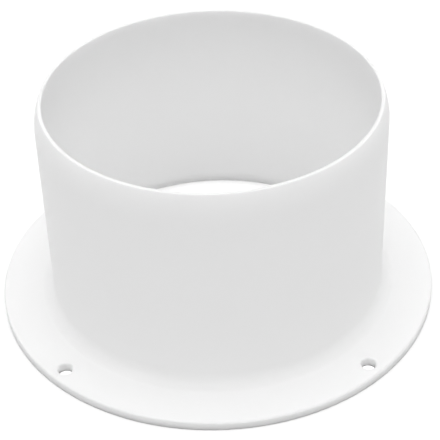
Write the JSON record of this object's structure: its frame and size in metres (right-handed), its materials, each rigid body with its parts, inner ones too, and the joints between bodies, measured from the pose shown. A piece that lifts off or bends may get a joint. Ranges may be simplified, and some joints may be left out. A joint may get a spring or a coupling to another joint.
{
  "type": "duct wall flange",
  "caption": "Round wall flange for ducting: a flat screw-down flange with a short spigot that has a curved lead-in and a flared throat.",
  "frame": {"origin": "centre of the flange's back face, on the duct's axis", "axes": "+Z along the duct's axis, from the wall towards the spigot's rim; the screw holes lie at 45 degrees to +X and +Y"},
  "size_m": [0.128, 0.128, 0.0655],
  "materials": {
    "white_plastic": "moulded white plastic with a soft sheen"
  },
  "bodies": {
    "root": {"wall_flange": "white_plastic"}
  },
  "joints": []
}
